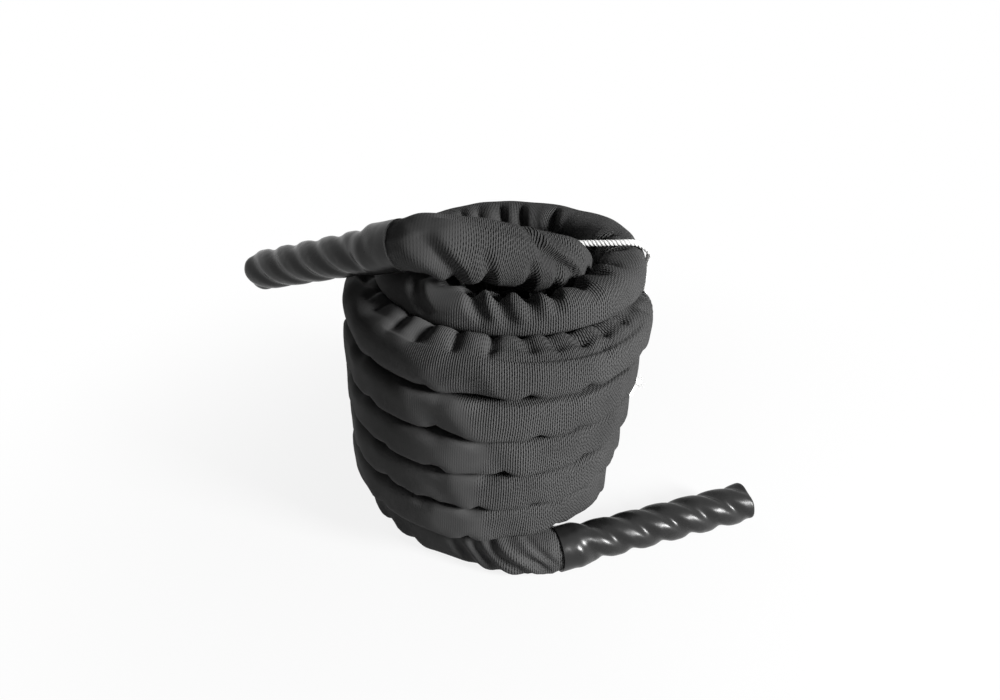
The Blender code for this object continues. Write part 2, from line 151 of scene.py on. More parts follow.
def curve_through(points, spacing):
    """Points a spacing apart on a smooth curve through these points."""
    points = np.array(points, float)
    before = 2 * points[0] - points[1]
    after = 2 * points[-1] - points[-2]
    full = np.vstack([before, points, after])
    pieces = []
    for a, b, c, d in zip(full, full[1:], full[2:], full[3:]):
        count = max(2, round(np.linalg.norm(c - b) / spacing))
        t = np.linspace(0.0, 1.0, count, endpoint=False)[:, None]
        bend = (2 * a - 5 * b + 4 * c - d) * t**2 + (3 * b - a - 3 * c + d) * t**3
        pieces.append(b + ((c - a) * t + bend) / 2)
    return np.vstack([*pieces, points[-1]])


def blurred(rows, sigma):
    """Rows evened out along their length, their two ends kept."""
    reach = 3 * sigma
    weights = np.exp(-((np.arange(-reach, reach + 1) / sigma) ** 2) / 2)
    weights /= weights.sum()
    before = 2 * rows[0] - rows[reach:0:-1]
    after = 2 * rows[-1] - rows[-2 : -reach - 2 : -1]
    padded = np.vstack([before, rows, after])
    return np.stack([np.convolve(column, weights, "valid") for column in padded.T], axis=1)


def evened(line, spacing):
    """The line again, its points a spacing apart."""
    run = run_of(line)
    at = np.linspace(0.0, run[-1], round(run[-1] / spacing) + 1)
    return np.stack([np.interp(at, run, column) for column in line.T], axis=1)


lower_mouth = np.array(LOWER_ROUTE[0])
upper_mouth = np.array(UPPER_ROUTE[-1])
coil_turns = np.arange(COIL_START, COIL_END, TURN_STEP)
knots = [
    lower_mouth + LOWER_GRIP_WAY * SLEEVE_TUCK,
    *LOWER_ROUTE,
    *coil_point(np.array((COIL_START,))),
]
route = [curve_through(knots, KNOT_SPACING)[:-1], coil_point(coil_turns)]
knots = [route[-1][-1], *UPPER_ROUTE, upper_mouth + UPPER_GRIP_WAY * SLEEVE_TUCK]
route.append(curve_through(knots, KNOT_SPACING)[1:])
route = evened(np.vstack(route), ROUTE_SPACING)
route = blurred(route, ROUTE_BLUR) + COIL_AXIS
# Rings lie closer together where the folds are, in the upper turns and near the grips
RING_RUNS = (0.0, 0.18, 3.55, 4.00, run_of(route)[-1])
RING_COUNTS = (0, 60, 560, 700, 1275)
ring_runs = np.interp(np.arange(RING_COUNTS[-1] + 1), RING_COUNTS, RING_RUNS)
route = np.stack([np.interp(ring_runs, run_of(route), column) for column in route.T], axis=1)
run = run_of(route)
ahead = np.gradient(route, axis=0)
ahead /= np.linalg.norm(ahead, axis=1)[:, None]
outward = np.cross((0.0, 0.0, 1.0), ahead)
outward /= np.linalg.norm(outward, axis=1)[:, None]
upward = np.cross(ahead, outward)

# The run at which the coil starts and ends, and the run at each of its turns
marked_turns = coil_turns[::12]
marks = coil_point(marked_turns) + COIL_AXIS
nearest = [int(np.argmin(np.linalg.norm(route - point, axis=1))) for point in marks]
TURN_RUNS = (marked_turns, run[np.maximum.accumulate(nearest)])


def run_at(turn):
    """The run along the rope at a turn of the coil."""
    return float(np.interp(turn, *TURN_RUNS))


# The woven sleeve: a loose tube of charcoal ribbed polyester cloth over the whole rope. It
# gathers in puckers on the inside of each bend, lies flat where turns press together, and
# is drawn in where the grips are shrunk over it.
SLEEVE_COLUMNS = 76
ROPE_END = run[-1]
SLEEVE_WIDTH = 0.0243
MOUTH_RADIUS = 0.0226
FILM_LAP = 0.008
# How far the cloth may stand off the rope, and how much of what goes past that is left
SLACK_REACH = 0.0300
SLACK_LEFT = 0.0026
# The plain section: the run, half the width, half the height and how square it is
SECTIONS = np.array(
    (
        (0.0, 0.0236, 0.0232, 2.2),
        (run_at(0.15), 0.0239, 0.0226, 4.2),
        (run_at(4.45), 0.0239, 0.0226, 4.2),
        (run_at(4.75), 0.0243, 0.0226, 2.5),
        (run_at(5.55), 0.0243, 0.0226, 2.5),
        (run_at(5.75), 0.0240, 0.0200, 2.4),
        (run_at(6.26), 0.0240, 0.0198, 2.4),
        (ROPE_END - 0.22, 0.0255, 0.0250, 2.2),
        (ROPE_END - 0.15, 0.0272, 0.0275, 2.2),
        (ROPE_END - 0.055, 0.0262, 0.0266, 2.1),
        (ROPE_END - 0.012, 0.0238, 0.0238, 2.0),
        (ROPE_END, 0.0238, 0.0238, 2.0),
    )
)
# Where the cloth stands fuller: from and to a run, how much, on which side and how far
# round, in degrees up from the outside
FULLER = (
    (run_at(4.62), run_at(5.40), 0.0078, 126, 46),
    (run_at(5.70), run_at(6.32), 0.0022, 318, 42),
    (run_at(5.88), run_at(6.12), -0.0078, 136, 84),
    (run_at(1.06), run_at(1.23), -0.0052, -58, 24),
    (run_at(2.08), run_at(2.22), -0.0052, -58, 24),
    (run_at(2.87), run_at(3.02), -0.0044, -60, 24),
    (run_at(3.09), run_at(3.23), -0.0046, -58, 24),
    (run_at(4.10), run_at(4.22), -0.0036, -56, 26),
    (ROPE_END - 0.215, ROPE_END - 0.09, 0.0016, 300, 75),
    (ROPE_END - 0.09, ROPE_END - 0.05, 0.0016, 300, 75),
)
FULLER_EASE = 0.03
# Soft waves over the whole sleeve: how high, how many, the longest, the shortest, and how
# often at most they go round
RIPPLES = ((0.0009, 9, 0.20, 0.07, 2), (0.0005, 12, 0.07, 0.03, 3))
# How hard each length presses on its neighbours, by its run
PRESS = np.array(
    (
        (0.0, 1.0),
        (run_at(4.55), 1.0),
        (run_at(4.75), 1.10),
        (run_at(5.30), 1.10),
        (run_at(5.55), 1.0),
        (run_at(5.78), 0.90),
        (run_at(6.28), 0.90),
        (ROPE_END - 0.22, 1.22),
        (ROPE_END, 1.22),
    )
)
# Each tie's place round the coil as a share of a turn, and the turns that it holds
TIE_PLACES = {
    "tie_right": (17.25 / 24, range(0, 6)),
    "tie_back_right": (13.5 / 24, range(1, 5)),
    "tie_back_left": (10.5 / 24, range(1, 5)),
}
TIE_RUNS = [run_at(turn + place) for place, turns in TIE_PLACES.values() for turn in turns]
# Puckers: their runs, the depth, the side where they start to show, the side where they are
# deepest and the side where they end, in degrees up from the outside
SEEN_PUCKERS = (
    ((4.848, 4.822, 4.798, 4.775, 4.744, 4.716, 4.690), 0.0060, 45, 115, 215),
    ((5.410, 5.388, 5.348, 5.321), 0.0064, -12, -70, -150),
    ((4.510, 4.605, 4.650), 0.0095, 70, 140, 220),
    ((4.118, 4.086, 4.058, 4.024, 3.992, 3.968, 3.940, 3.910, 3.880), 0.0070, 42, 100, 190),
)
# Stretches of further puckers: from and to a run, the least and most spacing, then as above
PUCKER_STRETCHES = (
    (run_at(0.2), run_at(4.55), 0.030, 0.055, 0.0030, 95, 165, 250),
    (run_at(4.55), 3.86, 0.026, 0.038, 0.0058, 60, 115, 190),
    (4.15, run_at(5.30), 0.026, 0.040, 0.0050, 55, 110, 190),
    (run_at(5.30), 4.49, 0.020, 0.032, 0.0075, 75, 140, 220),
    (4.65, 4.67, 0.024, 0.034, 0.0050, 45, 120, 215),
    (4.875, run_at(6.38), 0.024, 0.036, 0.0052, 40, 115, 215),
    (run_at(6.38), ROPE_END - 0.205, 0.020, 0.030, 0.0060, 60, 140, 230),
)
# Small dents where turns press together, given as the stretches are
DENT_STRETCHES = (
    (run_at(0.1), run_at(4.9), 0.034, 0.090, 0.0042, 10, 48, 80),
    (run_at(0.1), run_at(5.2), 0.032, 0.090, 0.0046, -10, -46, -80),
    (run_at(5.7), run_at(6.3), 0.040, 0.080, 0.0022, -15, -50, -80),
)
# Long folds: how low the cloth is on the left of the line, how far down to there and how far
# up again, how high it is on the right, and the line itself as runs and sides
FOLDS = (
    (
        *(0.0044, 0.0020, 0.0100, 0.0012),
        ((3.86, 38), (3.938, 41), (3.988, 46), (4.033, 57), (4.069, 62), (4.125, 58)),
    ),
    (0.0074, 0.0110, 0.0140, 0.0022, ((5.433, 56), (5.428, 34), (5.419, 10), (5.407, -18), (5.396, -60))),
    (0.0085, 0.0045, 0.0120, 0.0024, ((5.342, 36), (5.384, 52), (5.415, 69), (5.434, 78))),
    (
        *(0.0088, 0.0045, 0.0150, 0.0040),
        ((5.348, 104), (5.344, 78), (5.337, 45), (5.320, 26), (5.303, 8), (5.288, -22)),
    ),
    (0.0040, 0.0060, 0.0090, 0.0018, ((5.322, 100), (5.309, 64), (5.299, 40), (5.290, 20))),
    (0.0056, 0.0080, 0.0080, 0.0016, ((5.392, 30), (5.381, -20), (5.376, -44), (5.370, -80))),
    (0.0066, 0.0080, 0.0080, 0.0018, ((5.348, 16), (5.338, -24), (5.332, -50), (5.328, -80))),
    (0.0066, 0.0080, 0.0080, 0.0018, ((5.314, 14), (5.309, -20), (5.303, -50), (5.300, -80))),
    (0.0084, 0.0140, 0.0090, 0.0016, ((4.839, 150), (4.837, 102), (4.832, 70), (4.829, 44), (4.820, 10))),
    (0.0084, 0.0120, 0.0090, 0.0016, ((4.818, 150), (4.815, 95), (4.812, 60), (4.808, 33), (4.801, 4))),
    (0.0084, 0.0110, 0.0090, 0.0016, ((4.792, 150), (4.790, 100), (4.787, 60), (4.786, 40), (4.783, 10))),
    (0.0078, 0.0090, 0.0090, 0.0016, ((4.771, 150), (4.768, 100), (4.766, 60), (4.768, 40), (4.768, 12))),
    (0.0050, 0.0110, 0.0090, 0.0012, ((4.740, 150), (4.737, 90), (4.733, 53), (4.734, 20))),
    (0.0046, 0.0030, 0.0100, 0.0018, ((3.800, 60), (3.814, 20), (3.822, -8))),
    (0.0046, 0.0060, 0.0100, 0.0018, ((4.160, 118), (4.190, 84), (4.215, 60))),
    (0.0040, 0.0090, 0.0100, 0.0014, ((4.890, 110), (4.890, 70), (4.880, 30), (4.870, 5))),
    (0.0044, 0.0120, 0.0110, 0.0012, ((0.128, 85), (0.115, 50), (0.097, 1), (0.084, -40))),
    (0.0056, 0.0120, 0.0090, 0.0014, ((0.104, 85), (0.0906, 50), (0.072, 1), (0.060, -40))),
    (0.0060, 0.0110, 0.0080, 0.0016, ((0.085, 85), (0.0717, 50), (0.051, 0), (0.040, -40))),
    (0.0058, 0.0100, 0.0070, 0.0016, ((0.066, 85), (0.0530, 54), (0.033, 16), (0.020, -30))),
    (0.0040, 0.0072, 0.0060, 0.0012, ((0.050, 90), (0.0408, 62), (0.024, 24), (0.010, -10))),
)
# On the front of each turn the cloth lies flatter to the left of a slanting ridge, whose
# line is given in turns from its middle
FRONT_RIDGES = (0.94, 2.02, 2.97, 4.03, 5.0)
RIDGE_FORM = (0.0034, 0.0200, 0.0300, 0.0010)
RIDGE_LINE = ((0.045, 75), (0.016, 40), (0.0, -25), (-0.03, -75))
FOLDS += tuple(
    (*RIDGE_FORM, [(run_at(turn + further), side) for further, side in RIDGE_LINE])
    for turn in FRONT_RIDGES
)
dice = np.random.default_rng(11)
# Columns lie closer together on the sides that show than on the underside
SPARSE_SIDE = math.radians(245)
COLUMN_SHIFT = 0.35
even = np.arange(SLEEVE_COLUMNS) * 2 * math.pi / SLEEVE_COLUMNS
columns = even + COLUMN_SHIFT * np.sin(even - SPARSE_SIDE)
round_grid, run_grid = np.meshgrid(columns, run)


def eased(value, start, end):
    """From 0 at the start to 1 at the end, level at both."""
    share = np.clip((value - start) / (end - start), 0.0, 1.0)
    return share * share * (3 - 2 * share)


def ripple(waves, longest, shortest, most_round):
    """Soft uneven waves over the whole sleeve, about 1 high."""
    total = 0.0
    for _ in range(waves):
        length = dice.uniform(shortest, longest)
        phase = dice.uniform(0, 2 * math.pi)
        times_round = dice.integers(-most_round, most_round + 1)
        total = total + np.sin(2 * math.pi * run_grid / length + times_round * round_grid + phase)
    return total / math.sqrt(waves)


def half_turned(middle):
    """The side, in radians either way from a middle in degrees."""
    return (round_grid - math.radians(middle) + math.pi) % (2 * math.pi) - math.pi


def side_share(side, spread):
    """1 at a side of the sleeve, falling to 0 at a spread from it, in degrees."""
    off = np.abs(half_turned(side))
    return 1 - eased(off, 0.15 * math.radians(spread), math.radians(spread))


wide, tall, power = (np.interp(run_grid, SECTIONS[:, 0], column) for column in SECTIONS[:, 1:].T)
sideways = np.abs(np.cos(round_grid) / wide) ** power
upright = np.abs(np.sin(round_grid) / tall) ** power
reach = (sideways + upright) ** (-1 / power)
reach += sum(height * ripple(*form) for height, *form in RIPPLES)
for start, end, extra, side, spread in FULLER:
    level = eased(run_grid, start - FULLER_EASE, start + FULLER_EASE)
    level = level * (1 - eased(run_grid, end - FULLER_EASE, end + FULLER_EASE))
    reach += extra * level * side_share(side, spread)

# A pucker's slant and width, how wide it is at its ends, how wide one flank is and both
# together, how unevenly flanks and depths turn out, its valley's form, and the puffs of
# cloth on both sides of it: how high, how far off and how wide
PUCKER_SLANT = 0.007
PUCKER_WIDTHS = (0.0055, 0.0080)
PUCKER_END_WIDTH = 0.35
FLANK_WIDTHS = (0.6, 1.0)
BOTH_FLANKS = 1.6
FLANK_CHANCES = (0.8, 1.2)
DEPTH_CHANCES = (0.75, 1.15)
VALLEY_POWER = 1.25
PUFF_HEIGHT = 0.26
PUFF_OFF = 0.0125
PUFF_WIDTH = 0.0065


def pucker(at, depth, first, deepest, last):
    """A pinch of the cloth across the rope, with one steep and one slack flank."""
    middle = (first + last) / 2
    turned = half_turned(middle)
    low, high = sorted((first, last))
    peak = math.radians(deepest - middle)
    rise = eased(turned, math.radians(low - middle), peak)
    fall = 1 - eased(turned, peak, math.radians(high - middle))
    level = rise * fall
    slant = dice.uniform(-PUCKER_SLANT, PUCKER_SLANT)
    flank = dice.choice(FLANK_WIDTHS) * dice.uniform(*FLANK_CHANCES)
    off = run_grid - at - slant * turned
    wide = dice.uniform(*PUCKER_WIDTHS)
    wide = wide * (PUCKER_END_WIDTH + (1 - PUCKER_END_WIDTH) * level)
    wide = wide * np.where(off > 0, flank, BOTH_FLANKS - flank)
    deep = depth * dice.uniform(*DEPTH_CHANCES)
    valley = np.exp(-((np.abs(off) / wide) ** VALLEY_POWER))
    puff = np.exp(-(((np.abs(off) - PUFF_OFF) / PUFF_WIDTH) ** 2))
    return level * deep * (PUFF_HEIGHT * puff - valley)


for runs, *form in SEEN_PUCKERS:
    for at in runs:
        reach += pucker(at, *form)
for start, end, least, most, *form in PUCKER_STRETCHES + DENT_STRETCHES:
    at = start
    while at < end:
        reach += pucker(at, *form)
        at += dice.uniform(least, most)

# How far along the sleeve from its line a fold is worked out, how fast its lip falls off,
# and a distance further than any other
FOLD_MARGIN = 0.05
LIP_LENGTH = 0.009
FAR_OFF = 9.0


def fold(depth, down, back, lip, line):
    """A ridge along a line: the cloth drops on its left and rises again, and has a low lip."""
    line = np.array(line, float) * (1.0, math.radians(1) * SLEEVE_WIDTH)
    shape = np.zeros_like(run_grid)
    best = np.full_like(run_grid, FAR_OFF)
    ends = (line[:, 0].min() - FOLD_MARGIN, line[:, 0].max() + FOLD_MARGIN)
    rows = slice(*np.searchsorted(run, ends))
    middle = line[:, 1].mean()
    turned = half_turned(math.degrees(middle / SLEEVE_WIDTH))[rows] * SLEEVE_WIDTH + middle
    places = np.stack([run_grid[rows], turned], axis=-1)
    lengths = run_of(line)
    for start, end, before in zip(line, line[1:], lengths):
        way = end - start
        long = np.linalg.norm(way)
        way = way / long
        ahead = (places - start) @ way
        inside = np.clip(ahead, 0.0, long)
        near = places - start - inside[..., None] * way
        off = np.linalg.norm(near, axis=-1)
        beside = np.sign(near[..., 1] * way[0] - near[..., 0] * way[1]) * off
        share = (before + inside) / lengths[-1]
        level = np.clip(np.sin(math.pi * np.clip(share, 0.0, 1.0)), 0.0, 1.0) ** 0.5
        closer = off < best[rows]
        best[rows] = np.where(closer, off, best[rows])
        low = eased(off, 0.0, down) * (1 - eased(off, down, down + back))
        step = lip * np.exp(-off / LIP_LENGTH) - np.where(beside > 0, depth * low, 0.0)
        shape[rows] = np.where(closer, level * step, shape[rows])
    return shape


for form in FOLDS:
    reach += fold(*form)

# Near each grip the cloth is drawn in, and folds over the strands' lay
LAY_FOLD = 0.030
LAY_STEEP = 0.16
LAY_LEVEL = 0.62
STRANDS = 3
FLUTES = 13
FLUTE_DEPTH = 0.0004
FLUTE_LENGTH = 0.02
UNDER_FILM = 0.0030
LAP_START = SLEEVE_TUCK - 0.006
LAP_END = SLEEVE_TUCK + FILM_LAP
LAP_EASE = 0.002
# For each end: the distance from it, the folds' depth and length, and how soon they start
DRAWN_ENDS = (
    (run_grid, 0.0012, 0.115, 0.006),
    (ROPE_END - run_grid, 0.0010, 0.06, 0.016),
)
for distance, deep, far, drawn in DRAWN_ENDS:
    level = deep * (1 - eased(distance, far / 2, far))
    turned = (run_grid / LAY_FOLD - STRANDS * round_grid / (2 * math.pi)) % 1.0
    flank = np.where(turned < LAY_STEEP, turned / LAY_STEEP, (1 - turned) / (1 - LAY_STEEP))
    reach += level * (flank - LAY_LEVEL)
    loose = eased(distance, SLEEVE_TUCK, SLEEVE_TUCK + FLUTE_LENGTH)
    flutes = FLUTE_DEPTH * np.cos(FLUTES * round_grid) * (1 - loose)
    tight = 1 - eased(distance, LAP_END - LAP_EASE, LAP_END + drawn)
    reach += (MOUTH_RADIUS + flutes - reach) * tight
    hidden = 1 - eased(distance, LAP_START, LAP_END - LAP_EASE)
    reach -= UNDER_FILM * hidden

# Each tie pulls the cloth in to the rope
TIE_PULL_LENGTH = 0.009
for tie_run in TIE_RUNS:
    pulled = np.exp(-(((run_grid - tie_run) / TIE_PULL_LENGTH) ** 2))
    reach = reach + (np.minimum(reach, ROPE_RADIUS) - reach) * pulled

over = np.maximum(reach - SLACK_REACH, 0.0) / SLACK_LEFT
reach = np.minimum(reach, SLACK_REACH) + SLACK_LEFT * np.tanh(over)
skin = (
    route[:, None, :]
    + (reach * np.cos(round_grid))[..., None] * outward[:, None, :]
    + (reach * np.sin(round_grid))[..., None] * upward[:, None, :]
)

# Turns that press on each other share a flat face between them: its gap, how near lengths of
# rope have to lie, how much of the rope on both sides of a ring counts as its own, how far
# apart the points are that stand for the other lengths, and past how many of them another
# length starts
CONTACT_GAP = 0.0004
CONTACT_RANGE = 0.062
OWN_LENGTH = 0.12
CONTACT_SPACING = 0.004
POINTS_APART = 3
# The sleeve keeps clear of the grips, from a little past their mouths, and of the floor
GRIP_LENGTH = 0.218
GRIP_START = 0.03
GRIP_POINTS = 60
GRIP_REACH = 0.0222
GRIP_RANGE = 0.055
FLOOR_GAP = 0.0003
fine = evened(route, CONTACT_SPACING)
fine_run = run_of(fine)
press = np.interp(run, *PRESS.T)
fine_press = np.interp(fine_run, *PRESS.T)
along_grip = np.linspace(GRIP_START, GRIP_LENGTH, GRIP_POINTS)[:, None]
grips = (
    lower_mouth + COIL_AXIS + LOWER_GRIP_WAY * along_grip,
    upper_mouth + COIL_AXIS + UPPER_GRIP_WAY * along_grip,
)


def kept_off(points, centre, other, share, gap):
    """Points moved back to their own side of the face between two lengths of rope."""
    between = other - centre
    far = np.linalg.norm(between)
    between /= far
    over = (points - centre) @ between - (far * share - gap)
    return points - np.maximum(over, 0.0)[:, None] * between


for i, centre in enumerate(route):
    off = np.linalg.norm(fine - centre, axis=1)
    off[np.abs(fine_run - run[i]) < OWN_LENGTH] = FAR_OFF
    close = np.flatnonzero(off < CONTACT_RANGE)
    # The nearest point of each separate length of rope that lies near
    lengths = np.split(close, np.flatnonzero(np.diff(close) > POINTS_APART) + 1)
    others = [group[np.argmin(off[group])] for group in lengths if len(group)]
    # Twice, because a point moved off one length may come nearer to another
    for other in others * 2:
        share = press[i] / (press[i] + fine_press[other])
        skin[i] = kept_off(skin[i], centre, fine[other], share, CONTACT_GAP)
    for axis in grips:
        off = np.linalg.norm(axis - centre, axis=1)
        near = int(np.argmin(off))
        if off[near] < GRIP_RANGE and min(run[i], run[-1] - run[i]) > OWN_LENGTH:
            skin[i] = kept_off(skin[i], centre, axis[near], 1.0, GRIP_REACH)
skin[..., 2] = np.maximum(skin[..., 2], FLOOR_GAP)


def tube_mesh(name, rings, runs, columns, girth):
    """A closed tube through rings of points, with a UV map in metres along and round it."""
    count, sides = rings.shape[:2]
    points = np.vstack([rings.reshape(-1, 3), rings[0].mean(axis=0), rings[-1].mean(axis=0)])
    i, j = np.meshgrid(np.arange(count - 1), np.arange(sides), indexing="ij")
    low, high = i * sides, (i + 1) * sides
    beside = (j + 1) % sides
    quads = np.stack([low + j, low + beside, high + beside, high + j], axis=-1).reshape(-1, 4)
    faces = quads.tolist()
    last = (count - 1) * sides
    faces += [(count * sides, (k + 1) % sides, k) for k in range(sides)]
    faces += [(count * sides + 1, last + k, last + (k + 1) % sides) for k in range(sides)]
    mesh = bpy.data.meshes.new(name)
    mesh.from_pydata(points.tolist(), [], faces)
    layer = mesh.uv_layers.new(name="along_and_round")
    u = np.stack([runs[i], runs[i], runs[i + 1], runs[i + 1]], axis=-1).ravel()
    rounds = np.append(columns, columns[0] + 2 * math.pi) * girth / (2 * math.pi)
    v = rounds[np.stack([j, j + 1, j + 1, j], axis=-1)].ravel()
    caps = np.zeros((6 * sides, 2))
    caps[3 * sides :, 0] = runs[-1]
    layer.data.foreach_set("uv", np.vstack([np.stack([u, v], axis=1), caps]).ravel())
    mesh.shade_smooth()
    mesh.update()
    return mesh


def placed(name, mesh, material, slot, *nodes):
    """A finished piece on the rope, in place of its plain solids."""
    piece = bpy.data.objects.new(name, mesh)
    scene.collection.objects.link(piece)
    mesh.materials.clear()
    mesh.materials.append(material)
    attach(piece, "root")
    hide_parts(*nodes)
    return piece


def node_tools(tree):
    """Short ways to add shader nodes to a tree, to work with numbers and to link."""

    def add(kind, **settings):
        node = tree.nodes.new("ShaderNode" + kind)
        for key, value in settings.items():
            setattr(node, key, value)
        return node

    def math_node(operation, *values):
        node = add("Math", operation=operation)
        for socket, value in zip(node.inputs, values):
            if isinstance(value, (int, float)):
                socket.default_value = value
            else:
                tree.links.new(value, socket)
        return node.outputs[0]

    return add, math_node, tree.links.new


def new_material(name):
    """A material with its shader and the tools for its nodes."""
    material = bpy.data.materials.new(name)
    material.use_nodes = True
    tree = material.node_tree
    return material, tree.nodes["Principled BSDF"], *node_tools(tree)


def set_inputs(node, numbers):
    """Numbers and colours set on a node's own inputs."""
    for key, number in numbers.items():
        node.inputs[key].default_value = number


def noise(scale, detail, roughness=0.5):
    """Noise that sits still on the piece, in the material at hand."""
    node = add("TexNoise")
    set_inputs(node, {"Scale": scale, "Detail": detail, "Roughness": roughness})
    link(place.outputs["Object"], node.inputs["Vector"])
    return node.outputs["Fac"]


def ranged(value, low, high, to_low, to_high, **settings):
    """A value moved from one range to another and kept inside it."""
    node = add("MapRange", **settings)
    numbers = {"From Min": low, "From Max": high, "To Min": to_low, "To Max": to_high}
    set_inputs(node, numbers)
    link(value, node.inputs["Value"])
    return node.outputs[0]


def bumped(height, strength, distance):
    """A height shown in the shading of the material at hand."""
    bump = add("Bump")
    set_inputs(bump, {"Strength": strength, "Distance": distance})
    link(height, bump.inputs["Height"])
    link(bump.outputs["Normal"], shader.inputs["Normal"])


cloth, shader, add, calc, link = new_material("sleeve_cloth")
uv = add("UVMap", uv_map="along_and_round")
split = add("SeparateXYZ")
link(uv.outputs["UV"], split.inputs[0])
along, around = split.outputs["X"], split.outputs["Y"]
place = add("TexCoord")

# Ribs go round the rope and sway a little, and the weave breaks each of them into dashes,
# which step on from rib to rib
RIB_PITCH = 0.00188
RIB_SWAY = 0.006
DASH_LENGTH = 0.0040
DASH_STEP = 0.36
DASH_CHANCE = 0.3
swayed = calc("ADD", along, calc("MULTIPLY", noise(scale=14.0, detail=2.0), RIB_SWAY))
rib_place = calc("DIVIDE", swayed, RIB_PITCH)
rib_number = calc("FLOOR", rib_place)
ribs = calc("SINE", calc("MULTIPLY", rib_place, 2 * math.pi))
chance = add("TexWhiteNoise", noise_dimensions="1D")
link(rib_number, chance.inputs["W"])
stagger = calc("MULTIPLY", chance.outputs["Value"], DASH_CHANCE)
stagger = calc("ADD", calc("MULTIPLY", rib_number, DASH_STEP), stagger)
dash_place = calc("ADD", calc("DIVIDE", around, DASH_LENGTH), stagger)
dashes = calc("SINE", calc("MULTIPLY", dash_place, 2 * math.pi))

# The ribs close up where the cloth is stretched, at the coil's left and near both grips.
# Slack comes in patches, grows to the right, and there is more towards the upper grip.
PATCH_LEVEL = 0.5
SLACK_TO_RIGHT = 2.0
TAIL_SLACK = 0.09
TAIL_RUNS = (ROPE_END - 0.30, ROPE_END - 0.22)
sides = add("SeparateXYZ")
link(place.outputs["Object"], sides.inputs[0])
slack = calc("MULTIPLY", noise(scale=7.0, detail=2.0), PATCH_LEVEL)
slack = calc("ADD", slack, calc("MULTIPLY", sides.outputs["X"], SLACK_TO_RIGHT))
slack = calc("ADD", slack, ranged(along, *TAIL_RUNS, 0.0, TAIL_SLACK))
# How much slack starts to open the ribs and opens them fully, and how much of them shows
# closed and at each grip
OPENING = (0.16, 0.27)
SHOWN_CLOSED = 0.05
LOWER_RUNS = (0.08, 0.20)
SHOWN_LOWER = 0.4
UPPER_RUNS = (ROPE_END - 0.085, ROPE_END - 0.055)
SHOWN_UPPER = 0.3
shown = ranged(slack, *OPENING, SHOWN_CLOSED, 1.0)
shown = calc("MULTIPLY", shown, ranged(along, *LOWER_RUNS, SHOWN_LOWER, 1.0))
shown = calc("MULTIPLY", shown, ranged(along, *UPPER_RUNS, 1.0, SHOWN_UPPER))
# How high a rib is, and how much its dashes change that
RIB_LEVEL = 0.42
DASH_LEVEL = 0.26
broken = calc("ADD", calc("MULTIPLY", dashes, DASH_LEVEL), RIB_LEVEL)
ribs = calc("MULTIPLY", calc("MULTIPLY", ribs, shown), broken)
weave = calc("ADD", ribs, 0.5)
bumped(weave, strength=1.0, distance=0.0020)

# Charcoal, paler on the ribs and unevenly worn; painted shade darkens the tail by the upper grip
CHARCOAL = (0.043, 0.072)
WEAR = (0.84, 1.14)
TAIL_PAINTED_SHADE = 0.76
PAINTED_SHADE_RUNS = (ROPE_END - 0.28, ROPE_END - 0.16)
worn = ranged(noise(scale=9.0, detail=5.0, roughness=0.6), 0.35, 0.65, *WEAR)
level = calc("MULTIPLY", ranged(weave, 0.1, 0.9, *CHARCOAL), worn)
# Painted shade: near the upper grip the tail's colour is darkened, where its top faces the lights
level = calc("MULTIPLY", level, ranged(along, *PAINTED_SHADE_RUNS, 1.0, TAIL_PAINTED_SHADE))
grey = add("CombineColor")
for socket in ("Red", "Green", "Blue"):
    link(level, grey.inputs[socket])
link(grey.outputs[0], shader.inputs["Base Color"])
finish = {"Roughness": 0.84, "Specular IOR Level": 0.05}
finish |= {"Sheen Weight": 0.02, "Sheen Roughness": 0.5}
set_inputs(shader, finish)

sleeve_mesh = tube_mesh("woven_sleeve", skin, run, columns, 2 * math.pi * SLEEVE_WIDTH)
sleeve_nodes = ("sleeve_coil", "sleeve_lower", "sleeve_upper")
core_nodes = ("core_coil", "core_lower", "core_upper")
sleeve = placed("woven_sleeve", sleeve_mesh, cloth, "sleeve", *sleeve_nodes, *core_nodes)

# The grips: glossy black heat-shrink film, drawn down over the sleeve's end and over the
# rope's three strands, whose right-handed lay shows through it as lobes.
GRIP_SIZES = {
    "Length": GRIP_LENGTH,
    "Mouth Radius": 0.0233,
    "Body Radius": 0.0197,
    "Lobe Height": 0.0018,
    "Lobe Roundness": -0.22,
    "Lay Length": 0.102,
    "Wrinkles": 0.0012,
    "Tuck": 0.032,
    "Shoulder": 0.018,
    "End Round": 0.006,
    "End Flare": 0.0,
    "Flare Length": 0.006,
}
FILM_RINGS = 220
FILM_COLUMNS = 96
# Where the lobes start, as a share of the tuck, and the wrinkles' scale, detail and how much
# slower they change round the film than along it
LOBE_START_SHARE = 0.3
WRINKLE_SCALE = 55.0
WRINKLE_DETAIL = 3.0
WRINKLE_ROUND = 0.02
MERGE_DISTANCE = 0.00001


